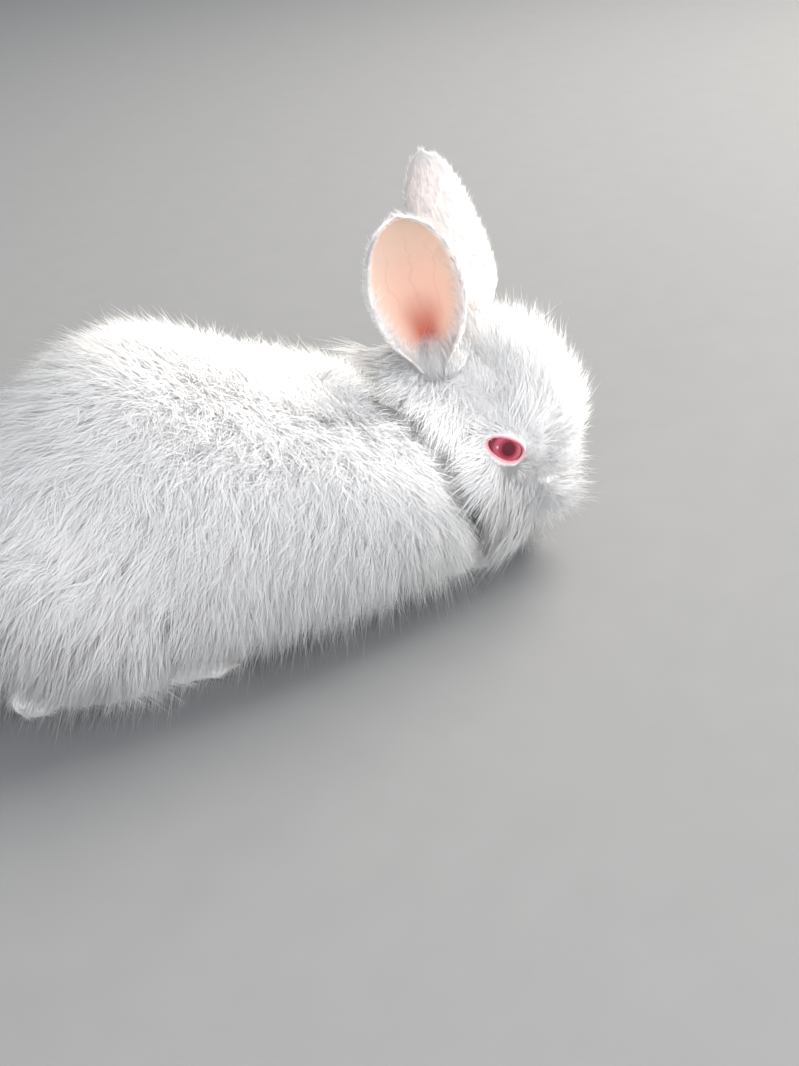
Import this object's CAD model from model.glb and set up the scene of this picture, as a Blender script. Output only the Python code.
"""Looks of the angora rabbit kit: one soft skin under a coat of fine tufts, ruby eyes and thin pink ears.

Metres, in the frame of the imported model: +Z up, +X from the rump to the chest, +Y to the rabbit's left.
Places and sizes are those of the solids. Each form has a share of the coat: 0 is its skin, 1 its tips.
"""

import logging
import math
from dataclasses import dataclass, field
from enum import Enum
from typing import Iterable, Optional, Sequence

import bpy
import numpy as np
from mathutils import Euler, Matrix, Quaternion, Vector
from mathutils.bvhtree import BVHTree
from mathutils.kdtree import KDTree


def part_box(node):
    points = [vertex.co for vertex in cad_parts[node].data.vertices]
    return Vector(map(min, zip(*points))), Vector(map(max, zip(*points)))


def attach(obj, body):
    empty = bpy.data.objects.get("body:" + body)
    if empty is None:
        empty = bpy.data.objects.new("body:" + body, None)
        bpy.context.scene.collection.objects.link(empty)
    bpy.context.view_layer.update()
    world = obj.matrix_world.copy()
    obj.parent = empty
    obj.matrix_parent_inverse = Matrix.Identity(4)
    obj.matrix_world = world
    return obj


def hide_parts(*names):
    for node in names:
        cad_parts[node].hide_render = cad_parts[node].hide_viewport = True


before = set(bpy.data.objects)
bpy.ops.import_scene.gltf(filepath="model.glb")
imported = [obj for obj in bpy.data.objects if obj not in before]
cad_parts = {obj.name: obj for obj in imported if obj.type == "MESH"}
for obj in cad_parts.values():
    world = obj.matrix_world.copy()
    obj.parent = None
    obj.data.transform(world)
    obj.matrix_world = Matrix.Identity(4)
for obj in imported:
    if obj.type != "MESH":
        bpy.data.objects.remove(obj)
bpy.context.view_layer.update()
LOG = logging.getLogger("rabbit")

Piece = bpy.types.Object
Array = np.ndarray
Chance = np.random.Generator
Triple = tuple[float, float, float]
UP = Vector((0, 0, 1))


def deselect_all() -> None:
    """Leaves edit mode and clears the selection, so that an operator acts on one piece only."""
    if bpy.context.object is not None and bpy.context.object.mode != "OBJECT":
        bpy.ops.object.mode_set(mode="OBJECT")
    bpy.ops.object.select_all(action="DESELECT")


def pick(*pieces: Piece) -> Piece:
    """Selects these pieces alone and makes the first of them active."""
    deselect_all()
    for piece in pieces:
        piece.select_set(True)
    bpy.context.view_layer.objects.active = pieces[0]
    return pieces[0]


def settle(piece: Piece) -> Piece:
    """Puts a piece's place in its mesh, so that its object sits at the origin."""
    pick(piece)
    bpy.ops.object.transform_apply(location=True, rotation=True, scale=True)
    return piece


def with_modifier(piece: Piece, kind: str, **settings: object) -> Piece:
    """Adds one modifier to a piece and applies it.

    Args:
        piece: The mesh object to change.
        kind: The modifier's type, such as "REMESH".
        settings: Its settings by name.

    Returns:
        The same piece.
    """
    pick(piece)
    modifier = piece.modifiers.new(kind.lower(), kind)
    for name, value in settings.items():
        setattr(modifier, name, value)
    bpy.ops.object.modifier_apply(modifier=modifier.name)
    return piece


def outward(piece: Piece) -> Piece:
    """Turns a closed piece's faces outwards.

    Args:
        piece: A closed mesh object.

    Returns:
        The same piece.
    """
    pick(piece)
    bpy.ops.object.mode_set(mode="EDIT")
    bpy.ops.mesh.select_all(action="SELECT")
    bpy.ops.mesh.normals_make_consistent(inside=False)
    bpy.ops.object.mode_set(mode="OBJECT")
    return piece


def joined(name: str, pieces: Sequence[Piece]) -> Piece:
    """Joins pieces to one object.

    Args:
        name: The object's new name.
        pieces: What is joined, the first of which is kept.

    Returns:
        The joined object.
    """
    first = pick(*pieces)
    if len(pieces) > 1:
        bpy.ops.object.join()
    first.name = name
    first.data.name = name
    return first


def combined(piece: Piece, other: Piece, operation: str) -> Piece:
    """Cuts or joins a piece with another, which is then removed."""
    with_modifier(piece, "BOOLEAN", object=other, operation=operation, solver="MANIFOLD")
    bpy.data.objects.remove(other)
    return piece


def points_of(piece: Piece) -> Array:
    """The piece's vertices as an array of rows."""
    points = np.empty(len(piece.data.vertices) * 3, np.float32)
    piece.data.vertices.foreach_get("co", points)
    return points.reshape(-1, 3).astype(float)


def put_points(piece: Piece, points: Array) -> Piece:
    """Moves the piece's vertices to these rows."""
    piece.data.vertices.foreach_set("co", np.asarray(points, np.float32).ravel())
    piece.data.update()
    return piece


def normals_of(piece: Piece) -> Array:
    """The normals of the piece's vertices as an array of rows."""
    normals = np.empty(len(piece.data.vertices) * 3, np.float32)
    piece.data.vertices.foreach_get("normal", normals)
    return normals.reshape(-1, 3)


def put_attribute(piece: Piece, name: str, values: Array) -> None:
    """Stores one number for each vertex of the piece, for its material to read."""
    attribute = piece.data.attributes.new(name, "FLOAT", "POINT")
    attribute.data.foreach_set("value", values.astype(np.float32))


def smoothed(piece: Piece, iterations: int) -> Piece:
    """Smooths a piece, swellings and hollows alike."""
    return with_modifier(piece, "SMOOTH", iterations=iterations, factor=0.5)


def filled(piece: Piece, iterations: int) -> Piece:
    """Smooths a piece's hollows out and leaves its swellings as they are.

    Args:
        piece: The mesh object to change.
        iterations: How many times it is smoothed.

    Returns:
        The same piece.
    """
    before = points_of(piece)
    normals = normals_of(piece)
    smoothed(piece, iterations)
    move = points_of(piece) - before
    raised = (move * normals).sum(1) > 0
    return put_points(piece, before + move * raised[:, None])


def smooth_step(low: float, high: float, value: Array) -> Array:
    """0 below low, 1 above high and a soft ramp between."""
    share = np.clip((value - low) / (high - low), 0, 1)
    return share * share * (3 - 2 * share)


def smooth_between(stations: Sequence[float], values: Sequence[float], x: float) -> float:
    """One of a row of sizes, smooth between its stations.

    Args:
        stations: Where the sizes are given, in rising order.
        values: The sizes at those stations.
        x: Where the size is wanted.

    Returns:
        The size at x.
    """
    last = len(stations) - 1
    i = int(np.clip(np.searchsorted(stations, x) - 1, 0, last - 1))
    before, a, b, after = (values[int(np.clip(k, 0, last))] for k in range(i - 1, i + 3))
    t = float(np.clip((x - stations[i]) / (stations[i + 1] - stations[i]), 0, 1))
    rise = (b - before) / 2 * (t**3 - 2 * t**2 + t) + (after - a) / 2 * (t**3 - t**2)
    return a * (2 * t**3 - 3 * t**2 + 1) + b * (3 * t**2 - 2 * t**3) + rise


def unit(rows: Array) -> Array:
    """Each row scaled to length 1."""
    return rows / np.maximum(np.linalg.norm(rows, axis=-1, keepdims=True), 1e-9)


def seen_from(place: Matrix, points: Array) -> Array:
    """Points of the rabbit in the frame of something that sits at this place."""
    inverse = np.array(place.inverted())
    return points @ inverse[:3, :3].T + inverse[:3, 3]


def mirrored(point: Iterable[float], side: int) -> Vector:
    """The point, or its mirror image across the rabbit's middle where side is -1."""
    x, y, z = point
    return Vector((x, y * side, z))


def ellipsoid(
    name: str, place: Matrix, half_sizes: Sequence[float], sides: int = 28, rings: int = 18
) -> Piece:
    """A ball primitive drawn out to an ellipsoid.

    Args:
        name: The new object's name.
        place: Where its centre is and how it is turned.
        half_sizes: Its half-sizes along its own axes.
        sides: Segments round its axis.
        rings: Rings from pole to pole.

    Returns:
        The object, at the origin with its place in its mesh.
    """
    deselect_all()
    bpy.ops.mesh.primitive_uv_sphere_add(
        segments=sides, ring_count=rings, radius=1, location=place.to_translation(), rotation=place.to_euler()
    )
    piece = bpy.context.object
    piece.name = name
    piece.scale = half_sizes
    return settle(piece)


def melted(name: str, forms: Sequence[Piece], voxel: float, smoothing: int) -> Piece:
    """One smooth closed form over overlapping closed forms.

    Args:
        name: The form's name.
        forms: What it is melted from.
        voxel: How fine it is.
        smoothing: How many times it is smoothed.

    Returns:
        The melted form.
    """
    piece = joined(name, forms)
    with_modifier(piece, "REMESH", mode="VOXEL", voxel_size=voxel)
    smoothed(piece, smoothing)
    return with_modifier(piece, "SUBSURF", levels=1, render_levels=1)


class Part(Enum):
    """The parts of the body, which set how the coat grows on them."""

    TRUNK = "trunk"
    HAUNCH = "haunch"
    TAIL = "tail"
    HEAD = "head"
    FOOT = "foot"
    EAR_RIGHT = "ear_right"
    EAR_LEFT = "ear_left"


@dataclass(frozen=True)
class Trunk:
    """Rump, belly, chest and neck in one form, given as stations along X."""

    rear: float = -0.070
    front: float = 0.086
    rear_rounding: float = 2.3
    front_rounding: float = 3.2
    stations: tuple[float, ...] = (-0.070, -0.050, -0.030, -0.010, 0.010, 0.030, 0.050, 0.070, 0.084)
    axis: tuple[float, ...] = (0.040, 0.043, 0.044, 0.044, 0.044, 0.044, 0.044, 0.039, 0.033)
    above: tuple[float, ...] = (0.038, 0.043, 0.049, 0.050, 0.042, 0.031, 0.023, 0.020, 0.016)
    below: tuple[float, ...] = (0.035, 0.036, 0.036, 0.034, 0.034, 0.034, 0.035, 0.031, 0.026)
    half_width: tuple[float, ...] = (0.034, 0.034, 0.033, 0.033, 0.032, 0.031, 0.030, 0.030, 0.028)
    coat_back: float = 0.014
    coat_flank: float = 0.016
    coat_belly: float = 0.008
    coat_end: float = 0.012

    def at(self, values: Sequence[float], x: float) -> float:
        """One of the sizes at x."""
        return smooth_between(self.stations, values, x)

    def point(self, along: float, around: float, share: float) -> Triple:
        """A point of the trunk.

        Args:
            along: From -1 at the rump to 1 at the front.
            around: The angle from the left side up, in radians.
            share: The share of the coat's depth.

        Returns:
            The point, in the rabbit's frame before it was moved to its stand.
        """
        x = (self.rear + self.front) / 2 + (self.front - self.rear) / 2 * along
        rounding = self.front_rounding if along > 0 else self.rear_rounding
        end = max(0.0, 1 - abs(along) ** rounding) ** (1 / rounding)
        up = math.sin(around)
        tall = self.at(self.above if up > 0 else self.below, x) * end
        far_coat = self.coat_back if up > 0 else self.coat_belly
        coat = share * (self.coat_flank + (far_coat - self.coat_flank) * up**2)
        wide = self.at(self.half_width, x) * end
        reach = end**0.5
        return (
            x + along**3 * self.coat_end * share,
            math.cos(around) * (wide + coat * reach),
            self.at(self.axis, x) + up * (tall + coat * reach),
        )

    def build(self, share: float, stand: Vector) -> Piece:
        """The trunk at this share of the coat, as a ball drawn out to the stations."""
        piece = ellipsoid("trunk", Matrix.Identity(4), (1, 1, 1), 48, 36)
        rows = [
            self.point(float(np.clip(z, -1, 1)), math.atan2(y, x), share) for x, y, z in points_of(piece)
        ]
        put_points(piece, np.array(rows) + np.array(stand))
        return outward(piece)


@dataclass(frozen=True)
class HeadForm:
    """One rounded form of the head: its centre and half-sizes at the skin, then at the tips of the coat."""

    skin_at: Triple
    skin_size: Triple
    coat_at: Triple
    coat_size: Triple
    paired: bool = False


@dataclass(frozen=True)
class Head:
    """The head, low and turned to the rabbit's right. Its own frame has +X to the nose."""

    at: Triple = (0.094, -0.004, 0.054)
    yaw: float = math.radians(-35)
    pitch: float = math.radians(39)
    roll: float = math.radians(6)
    lie_focus: Triple = (0.030, 0.0, 0.002)
    nose_at: Triple = (0.0395, 0.0, -0.0100)
    mouth_at: Triple = (0.0370, 0.0, -0.0180)
    forms: tuple[HeadForm, ...] = (
        HeadForm((-0.008, 0, 0.002), (0.021, 0.017, 0.017), (-0.009, 0, 0.002), (0.026, 0.0225, 0.022)),
        HeadForm((-0.004, 0, 0.006), (0.018, 0.011, 0.015), (-0.004, 0, 0.010), (0.026, 0.015, 0.032)),
        HeadForm((0.006, 0, 0.002), (0.022, 0.0135, 0.018), (0.006, 0, 0.010), (0.027, 0.018, 0.028)),
        HeadForm((0.010, 0, -0.003), (0.022, 0.015, 0.016), (0.010, 0, -0.003), (0.024, 0.0175, 0.0185)),
        HeadForm((0.022, 0, -0.001), (0.012, 0.0085, 0.009), (0.022, 0, 0.004), (0.018, 0.0135, 0.017)),
        HeadForm(
            (0, 0.009, -0.011), (0.018, 0.010, 0.013), (-0.003, 0.017, -0.015), (0.026, 0.020, 0.024), True
        ),
        HeadForm((0.008, 0, -0.018), (0.018, 0.009, 0.008), (0.006, 0, -0.025), (0.027, 0.022, 0.022)),
        HeadForm(
            (0.0115, 0.009, 0.004), (0.0115, 0.0088, 0.0105),
            (0.0115, 0.009, 0.004), (0.012, 0.0092, 0.011), True,
        ),
        HeadForm((0.027, 0, -0.011), (0.0125, 0.0095, 0.0105), (0.027, 0, -0.011), (0.014, 0.0115, 0.0125)),
        HeadForm(
            (0.0325, 0.0045, -0.0155), (0.0065, 0.005, 0.006),
            (0.0325, 0.0045, -0.0155), (0.0075, 0.006, 0.007), True,
        ),
        HeadForm((0.027, 0, -0.0215), (0.0085, 0.006, 0.005), (0.023, 0, -0.0265), (0.017, 0.015, 0.013)),
    )
    voxel: float = 0.00116
    smoothing: int = 7

    def matrix(self, stand: Vector) -> Matrix:
        """From the head's own frame to the rabbit's frame."""
        turn = Euler((0, 0, self.yaw)).to_matrix() @ Euler((0, self.pitch, 0)).to_matrix()
        turn = turn @ Euler((self.roll, 0, 0)).to_matrix()
        return Matrix.Translation(Vector(self.at) + stand) @ turn.to_4x4()

    def build(self, share: float, stand: Vector) -> Piece:
        """The head's forms, melted to one.

        Args:
            share: The share of the coat's depth.
            stand: How far the rabbit was moved to stand on the origin.

        Returns:
            The head.
        """
        pieces = []
        for form in self.forms:
            centre = Vector(form.skin_at).lerp(Vector(form.coat_at), share)
            half_sizes = Vector(form.skin_size).lerp(Vector(form.coat_size), share)
            for side in (1, -1) if form.paired else (1,):
                place = self.matrix(stand) @ Matrix.Translation(mirrored(centre, side))
                pieces.append(ellipsoid("head_form", place, half_sizes))
        return melted("head_form", pieces, self.voxel, self.smoothing)


@dataclass(frozen=True)
class Eye:
    """An eyeball with its lids, on one side of the head."""

    side: int
    at: Triple = (0.0115, 0.0148, 0.0040)
    radius: float = 0.0072
    facing: Triple = (0.20, 0.78, 0.57)
    slant: float = 0.30
    opening: tuple[float, float] = (53.0, 25.0)
    lid: float = 0.0014
    cornea: float = 0.045

    @property
    def name(self) -> str:
        """The name of the solid that this eye stands for."""
        return "eye_left" if self.side > 0 else "eye_right"

    def centre(self) -> Vector:
        """The eyeball's centre in the head's frame."""
        return mirrored(self.at, self.side)

    def axes(self) -> tuple[Vector, Vector, Vector]:
        """Outwards, along the opening and upright, in the head's frame."""
        out = mirrored(self.facing, self.side).normalized()
        across = Vector((1, 0, self.slant)) - out * (out.x + out.z * self.slant)
        across.normalize()
        return out, across, out.cross(across)

    def gap(self, around: Array) -> Array:
        """The half-angle of the opening in each direction round it, in degrees."""
        long_half, high_half = self.opening
        return 1 / np.hypot(np.cos(around) / long_half, np.sin(around) / high_half)

    def off_rim(self, local: Array) -> tuple[Array, Array]:
        """Where points are, seen from this eye.

        Args:
            local: The points, in the head's frame.

        Returns:
            Their distances from the eye's centre, and how many degrees outside its opening they are.
        """
        out, across, upright = (np.array(axis) for axis in self.axes())
        away = local - np.array(self.centre())
        angle = np.degrees(np.arctan2(np.hypot(away @ across, away @ upright), away @ out))
        around = np.arctan2(away @ upright, away @ across)
        return np.linalg.norm(away, axis=1), angle - self.gap(around)

    def build(self, head: Matrix) -> Piece:
        """The eyeball, with the cornea standing a little proud.

        Args:
            head: From the head's frame to the rabbit's frame.

        Returns:
            The eyeball.
        """
        out, across, upright = self.axes()
        turn = Matrix((across, upright, out)).transposed()
        if turn.determinant() < 0:
            turn = Matrix((upright, across, out)).transposed()
        place = head @ Matrix.Translation(self.centre()) @ turn.to_4x4()
        piece = ellipsoid("eyeball", Matrix.Identity(4), (self.radius,) * 3, 48, 32)
        rows = points_of(piece)
        height = rows[:, 2] / self.radius
        rows *= (1 + self.cornea * smooth_step(0.55, 0.95, height))[:, None] * 0.995
        put_points(piece, rows)
        piece.data.transform(place)
        piece.name = self.name + "_ball"
        outward(piece)
        bpy.ops.object.shade_smooth()
        return piece

    def lids(self, head: Matrix) -> Piece:
        """Both lids as one ring on the eyeball: a torus shaped to a thin wall round an almond opening.

        Args:
            head: From the head's frame to the rabbit's frame.

        Returns:
            The ring.
        """
        out, across, upright = self.axes()
        around_count, section_count = 72, 12
        outside = (
            (0.0, 0.25), (1.5, 0.50), (4.0, 0.66), (8.0, 0.60), (14.0, 0.62),
            (22.0, 0.72), (32.0, 0.70), (46.0, 0.45), (62.0, 0.05),
        )
        section = [(0.0, -0.0005)]
        section += [(degrees, share * self.lid) for degrees, share in outside]
        section += [(62.0, -0.0012), (26.0, -0.0012)]
        deselect_all()
        bpy.ops.mesh.primitive_torus_add(
            major_segments=around_count, minor_segments=section_count, major_radius=1, minor_radius=0.3
        )
        piece = bpy.context.object
        rows = []
        for i in range(around_count):
            around = math.tau * i / around_count
            spoke = across * math.cos(around) + upright * math.sin(around)
            for further, above in section:
                angle = math.radians(self.gap(around) + further)
                way = out * math.cos(angle) + spoke * math.sin(angle)
                rows.append(self.centre() + way * (self.radius + above))
        put_points(piece, np.array([head @ row for row in rows]))
        return outward(piece)


@dataclass(frozen=True)
class Ear:
    """An upright ear: a leaf rolled to a cup at its root and nearly flat at its tip."""

    part: Part
    seat: Triple
    tip: Triple
    facing: Triple
    length: float = 0.052
    width: float = 0.027
    sunk: float = 0.004
    wall: float = 0.0010
    hollow: float = 0.006
    stations: tuple[float, ...] = (0.0, 0.12, 0.28, 0.45, 0.62, 0.80, 0.91, 0.97, 1.0)
    widths: tuple[float, ...] = (0.34, 0.52, 0.84, 1.0, 0.97, 0.77, 0.55, 0.34, 0.05)
    curls: tuple[float, ...] = (140, 118, 84, 66, 54, 44, 40, 37, 36)

    def axes(self) -> tuple[Vector, Vector, Vector]:
        """Along the ear, out of its opening and across it, in the rabbit's frame."""
        long_way = Vector(self.tip).normalized()
        open_way = Vector(self.facing)
        open_way = (open_way - long_way * open_way.dot(long_way)).normalized()
        return long_way, open_way, long_way.cross(open_way)

    def point(self, head: Matrix, along: float, across: float) -> Vector:
        """A point of the leaf's middle surface.

        Args:
            head: From the head's frame to the rabbit's frame.
            along: 0 at the root and 1 at the tip.
            across: -1 at one edge and 1 at the other.

        Returns:
            The point in the rabbit's frame.
        """
        long_way, open_way, side_way = self.axes()
        half_curl = math.radians(smooth_between(self.stations, self.curls, along))
        width = max(0.03, smooth_between(self.stations, self.widths, along)) * self.width
        radius = width / (2 * math.sin(min(half_curl, math.pi / 2)))
        middle = head @ Vector(self.seat) + long_way * (along * (self.length + self.sunk) - self.sunk)
        middle -= open_way * self.hollow * math.sin(along * math.pi)
        angle = across * half_curl
        return (
            middle
            + side_way * radius * math.sin(angle)
            - open_way * radius * (math.cos(angle) - math.cos(half_curl * 0.5))
        )

    def build(self, head: Matrix) -> Piece:
        """The ear as a thin closed wall.

        Args:
            head: From the head's frame to the rabbit's frame.

        Returns:
            The ear.
        """
        deselect_all()
        bpy.ops.mesh.primitive_grid_add(x_subdivisions=20, y_subdivisions=30, size=2)
        piece = bpy.context.object
        piece.name = self.part.value + "_leaf"
        rows = []
        for across, along, _ in points_of(piece):
            share = 1 - (1 - (along + 1) / 2) ** 1.6
            rows.append(self.point(head, share, across))
        put_points(piece, np.array(rows))
        outward(piece)
        with_modifier(piece, "SOLIDIFY", thickness=self.wall, offset=0, use_even_offset=False)
        with_modifier(piece, "SUBSURF", levels=1, render_levels=1)
        return outward(piece)

    def coordinates(self, head: Matrix, points: Array) -> tuple[Array, Array, Array]:
        """Where points are, seen from this ear.

        Args:
            head: From the head's frame to the rabbit's frame.
            points: The points, in the rabbit's frame.

        Returns:
            How far along and across the ear each is, and how far towards its open side.
        """
        long_way, open_way, side_way = (np.array(axis) for axis in self.axes())
        offset = points - np.array(head @ Vector(self.seat))
        along = (offset @ long_way + self.sunk) / (self.length + self.sunk)
        half = np.interp(along, self.stations, self.widths) * self.width / 2
        return along, offset @ side_way / np.maximum(half, 1e-4), offset @ open_way


@dataclass(frozen=True)
class Limbs:
    """Haunches, tail, hind feet and forelegs."""

    haunch_at: Triple = (-0.036, 0.0205, 0.040)
    haunch_size: Triple = (0.030, 0.0135, 0.019)
    haunch_lean: float = math.radians(16)
    haunch_coat: float = 0.014
    heel: tuple[float, float] = (-0.060, 0.020)
    hind_toes: tuple[float, float] = (-0.011, 0.025)
    hind_width: float = 0.015
    hind_height: float = 0.012
    paw_at: tuple[float, float] = (0.077, 0.0130)
    paw_length: float = 0.022
    paw_width: float = 0.0115
    paw_height: float = 0.0085
    foreleg_radius: float = 0.0062
    foreleg_top: Triple = (0.062, 0.0135, 0.027)
    tail_at: Triple = (-0.074, 0, 0.036)
    tail_size: Triple = (0.010, 0.009, 0.012)
    tail_coat: float = 0.008
    fur: float = 0.0007
    claw_length: float = 0.0034
    claw_radius: float = 0.00055
    claw_bend: float = 0.0009
    off_floor: float = 0.0003
    voxel: float = 0.0013
    smoothing: int = 3

    def haunch(self, side: int, share: float, stand: Vector) -> Piece:
        """One folded thigh under the flank."""
        place = Matrix.Translation(mirrored(self.haunch_at, side) + stand)
        place = place @ Matrix.Rotation(self.haunch_lean, 4, "Y")
        return ellipsoid("haunch", place, [half + self.haunch_coat * share for half in self.haunch_size])

    def tail(self, share: float, stand: Vector) -> Piece:
        """The short tail, carried close to the rump."""
        place = Matrix.Translation(Vector(self.tail_at) + stand) @ Matrix.Rotation(math.radians(-20), 4, "Y")
        return ellipsoid("tail", place, [half + self.tail_coat * share for half in self.tail_size])

    def toes_of(self, centre: Vector, forward: Vector, width: float, reach: float) -> list[Vector]:
        """The middles of the four toes of a foot.

        Args:
            centre: The middle of their row.
            forward: The foot's heading.
            width: How wide the row is.
            reach: How far the middle toes lead.

        Returns:
            The four middles.
        """
        across = Vector((-forward.y, forward.x, 0))
        steps = [(k + 0.5) / 4 - 0.5 for k in range(4)]
        return [centre + across * v * width + forward * reach * (1 - 2.2 * v * v) for v in steps]

    def hind_line(self, side: int) -> tuple[Vector, Vector, Vector]:
        """The heel, the front and the heading of a hind foot."""
        heel = Vector((self.heel[0], self.heel[1] * side, self.hind_height * 0.45))
        front = Vector((self.hind_toes[0], self.hind_toes[1] * side, self.hind_height * 0.40))
        return heel, front, (front - heel).normalized()

    def paw_line(self, side: int) -> tuple[Vector, Vector]:
        """The middle and the heading of a forepaw."""
        paw = Vector((self.paw_at[0], self.paw_at[1] * side, self.paw_height * 0.42))
        return paw, Vector((1, 0.12 * side, 0)).normalized()

    def hind_foot(self, side: int, stand: Vector) -> Piece:
        """A long hind foot, heel down, flat on the floor.

        Args:
            side: 1 for the left foot, -1 for the right.
            stand: How far the rabbit was moved to stand on the origin.

        Returns:
            The foot.
        """
        heel, front, forward = self.hind_line(side)
        turn = forward.to_track_quat("X", "Z").to_matrix().to_4x4()
        long_half = (front - heel).length * 0.52
        shapes = [
            ((heel + front) / 2, (long_half, self.hind_width / 2, self.hind_height * 0.62)),
            (heel, (0.009, 0.0060, 0.0072)),
            (front - forward * 0.006, (0.012, self.hind_width * 0.54, 0.0062)),
        ]
        toes = self.toes_of(front - Vector((0, 0, 0.001)), forward, self.hind_width * 0.92, 0.004)
        shapes += [(toe, (0.0068, 0.0025, 0.0040)) for toe in toes]
        return self.foot_of(shapes, turn, stand)

    def foreleg(self, side: int, stand: Vector) -> Piece:
        """A foreleg from under the chest down to its paw.

        Args:
            side: 1 for the left leg, -1 for the right.
            stand: How far the rabbit was moved to stand on the origin.

        Returns:
            The leg with its paw.
        """
        paw, forward = self.paw_line(side)
        turn = forward.to_track_quat("X", "Z").to_matrix().to_4x4()
        toes = self.toes_of(paw + forward * self.paw_length * 0.34, forward, self.paw_width * 0.9, 0.003)
        shapes = [(paw, (self.paw_length * 0.46, self.paw_width / 2, self.paw_height * 0.60))]
        shapes += [(toe, (0.0050, 0.0020, 0.0034)) for toe in toes]
        wrist = paw - forward * self.paw_length * 0.22 + Vector((0, 0, 0.004))
        rise = mirrored(self.foreleg_top, side) - wrist
        shin_turn = rise.to_track_quat("Z", "Y").to_matrix().to_4x4()
        shin = ellipsoid(
            "shin",
            Matrix.Translation(wrist + rise * 0.45 + stand) @ shin_turn,
            (self.foreleg_radius, self.foreleg_radius, rise.length * 0.66),
        )
        return self.foot_of(shapes, turn, stand, [shin])

    def claw(self, at: Vector, forward: Vector) -> Piece:
        """One claw, drawn from a ball to a cone that bends down.

        Args:
            at: Its root.
            forward: Its heading.

        Returns:
            The claw.
        """
        piece = ellipsoid("claw", Matrix.Identity(4), (1, 1, 1), 10, 8)
        aside = UP.cross(forward)
        rows = []
        for x, y, z in points_of(piece):
            t = (z + 1) / 2
            slim = self.claw_radius * (1 - 0.75 * t)
            middle = at + forward * (self.claw_length * t) - UP * (self.claw_bend * t * t)
            rows.append(middle + aside * (x * slim) + UP * (y * slim * 1.2))
        put_points(piece, np.array(rows))
        return outward(piece)

    def claws(self, stand: Vector) -> Piece:
        """A small claw at the end of each toe.

        Args:
            stand: How far the rabbit was moved to stand on the origin.

        Returns:
            All claws as one piece.
        """
        pieces = []
        for side in (1, -1):
            _, front, forward = self.hind_line(side)
            toes = self.toes_of(front - Vector((0, 0, 0.001)), forward, self.hind_width * 0.92, 0.004)
            pieces += [self.claw(toe + forward * 0.0056 + stand, forward) for toe in toes]
            paw, ahead = self.paw_line(side)
            toes = self.toes_of(paw + ahead * self.paw_length * 0.34, ahead, self.paw_width * 0.9, 0.003)
            pieces += [self.claw(toe + ahead * 0.0038 + stand, ahead) for toe in toes]
        return joined("claws", pieces)

    def foot_of(
        self,
        shapes: Sequence[tuple[Vector, Sequence[float]]],
        turn: Matrix,
        stand: Vector,
        more: Sequence[Piece] = (),
    ) -> Piece:
        """A foot's forms, less the depth of its short fur, melted to one and cut flat at the floor.

        Args:
            shapes: The middle and the half-sizes of each form.
            turn: How the forms are turned.
            stand: How far the rabbit was moved to stand on the origin.
            more: Forms that are ready made.

        Returns:
            The foot.
        """
        forms = []
        for at, size in shapes:
            place = Matrix.Translation(at + stand) @ turn
            forms.append(ellipsoid("foot_form", place, [half - self.fur for half in size], 20, 14))
        piece = melted("foot", forms + list(more), self.voxel, self.smoothing)
        deselect_all()
        bpy.ops.mesh.primitive_cube_add(size=0.4, location=(0, 0, self.off_floor - 0.2))
        return combined(piece, settle(bpy.context.object), "DIFFERENCE")


@dataclass
class Surface:
    """A piece's faces as arrays, with a search tree."""

    piece: Piece
    corners: Array = field(init=False)
    areas: Array = field(init=False)
    normals: Array = field(init=False)
    maps: Optional[Array] = field(init=False, default=None)
    tree: BVHTree = field(init=False)

    def __post_init__(self) -> None:
        """Reads the mesh once."""
        mesh = self.piece.data
        mesh.calc_loop_triangles()
        count = len(mesh.loop_triangles)
        indices = np.empty(count * 3, np.int32)
        mesh.loop_triangles.foreach_get("vertices", indices)
        indices = indices.reshape(-1, 3)
        points = points_of(self.piece)
        self.corners = points[indices]
        a, b, c = self.corners.transpose(1, 0, 2)
        self.areas = np.linalg.norm(np.cross(b - a, c - a), axis=1) / 2
        self.normals = normals_of(self.piece).astype(float)[indices]
        if mesh.uv_layers:
            loops = np.empty(count * 3, np.int32)
            mesh.loop_triangles.foreach_get("loops", loops)
            flat = np.empty(len(mesh.loops) * 2, np.float32)
            mesh.uv_layers[0].data.foreach_get("uv", flat)
            self.maps = flat.reshape(-1, 2)[loops].reshape(-1, 3, 2)
        self.tree = BVHTree.FromPolygons(points.tolist(), indices.tolist())

    def scatter(self, count: int, weight: Array, rng: Chance) -> tuple[Array, ...]:
        """Random places on the surface.

        Args:
            count: How many.
            weight: How thickly each face is sown.
            rng: The seeded source of chance.

        Returns:
            The faces, points, normals and places on the unwrap.
        """
        odds = self.areas * weight
        faces = rng.choice(len(odds), count, p=odds / odds.sum())
        root = np.sqrt(rng.random(count))
        slide = rng.random(count)
        shares = np.stack((1 - root, root * (1 - slide), root * slide), axis=1)[:, :, None]
        points = (self.corners[faces] * shares).sum(1)
        normals = unit((self.normals[faces] * shares).sum(1))
        maps = None if self.maps is None else (self.maps[faces] * shares).sum(1)
        return faces, points, normals, maps

    def map_at(self, points: Array) -> Array:
        """The unwrap's place under each point."""
        faces = [self.tree.find_nearest(Vector(point))[2] for point in points]
        return self.maps[faces].mean(1)


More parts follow.
